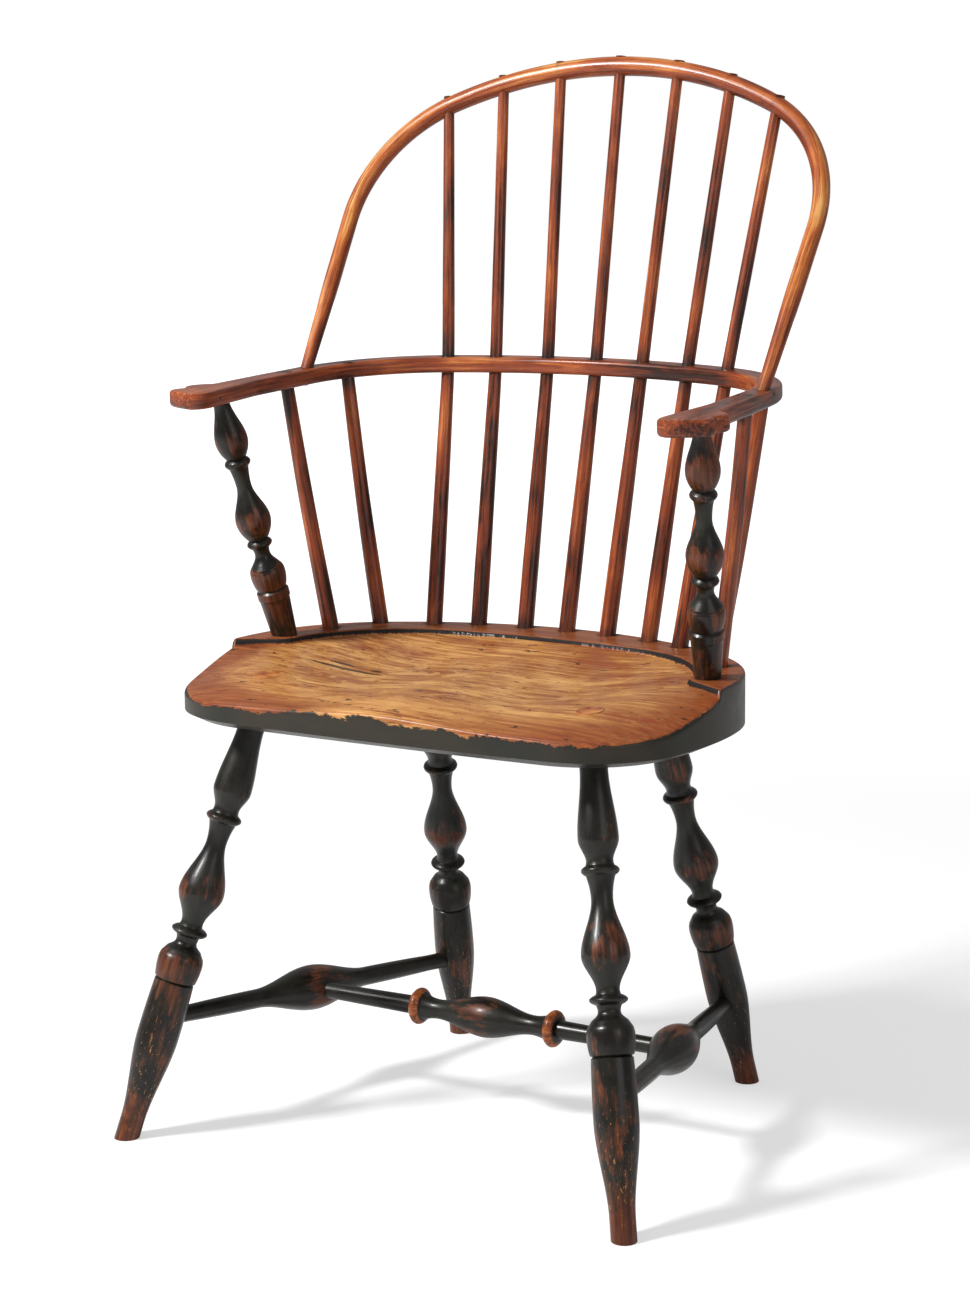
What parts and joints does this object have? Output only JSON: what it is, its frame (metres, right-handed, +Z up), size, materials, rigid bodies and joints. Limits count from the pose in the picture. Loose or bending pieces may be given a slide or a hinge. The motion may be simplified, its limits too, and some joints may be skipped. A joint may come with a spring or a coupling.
{
  "type": "windsor chair",
  "caption": "Sack-back windsor armchair: saddled plank seat on turned, stretchered legs, with spindles held by a bent arm rail and a bent bow.",
  "frame": {"origin": "on the floor, at the middle of the chair's bounding box", "axes": "+Z up, the sitter faces -Y, the chair is mirrored about X = 0 and the sitter's left is +X"},
  "size_m": [0.564, 0.4954, 0.9859],
  "materials": {
    "seat": "worn, waxed plank with old paint at its margins",
    "base": "old dark paint, worn through to red-brown wood",
    "posts": "old dark paint, worn and polished by hands",
    "rail": "polished, dark in the hollows",
    "bow": "polished, worn to honey on top",
    "spindles": "shaved, polished",
    "wedges": "end grain, stained with the rest",
    "pins": "dark nail heads"
  },
  "bodies": {
    "root": {"seat": "seat", "leg_front_left": "base", "leg_front_right": "base", "leg_rear_left": "base", "leg_rear_right": "base", "side_stretcher_left": "base", "side_stretcher_right": "base", "medial_stretcher": "base", "arm_post_left": "posts", "arm_post_right": "posts", "arm_rail": "rail", "hand_hold_block_left": "rail", "hand_hold_block_right": "rail", "bow": "bow", "long_spindle_1": "spindles", "long_spindle_2": "spindles", "long_spindle_3": "spindles", "long_spindle_4": "spindles", "long_spindle_5": "spindles", "long_spindle_6": "spindles", "long_spindle_7": "spindles", "short_spindle_left_front": "spindles", "short_spindle_left_rear": "spindles", "short_spindle_right_front": "spindles", "short_spindle_right_rear": "spindles", "leg_wedges": "wedges", "arm_post_wedges": "wedges", "spindle_wedges": "wedges", "short_spindle_wedges": "wedges", "bow_end_wedges": "wedges", "bow_end_pins": "pins", "hand_hold_pins": "pins"}
  },
  "joints": []
}
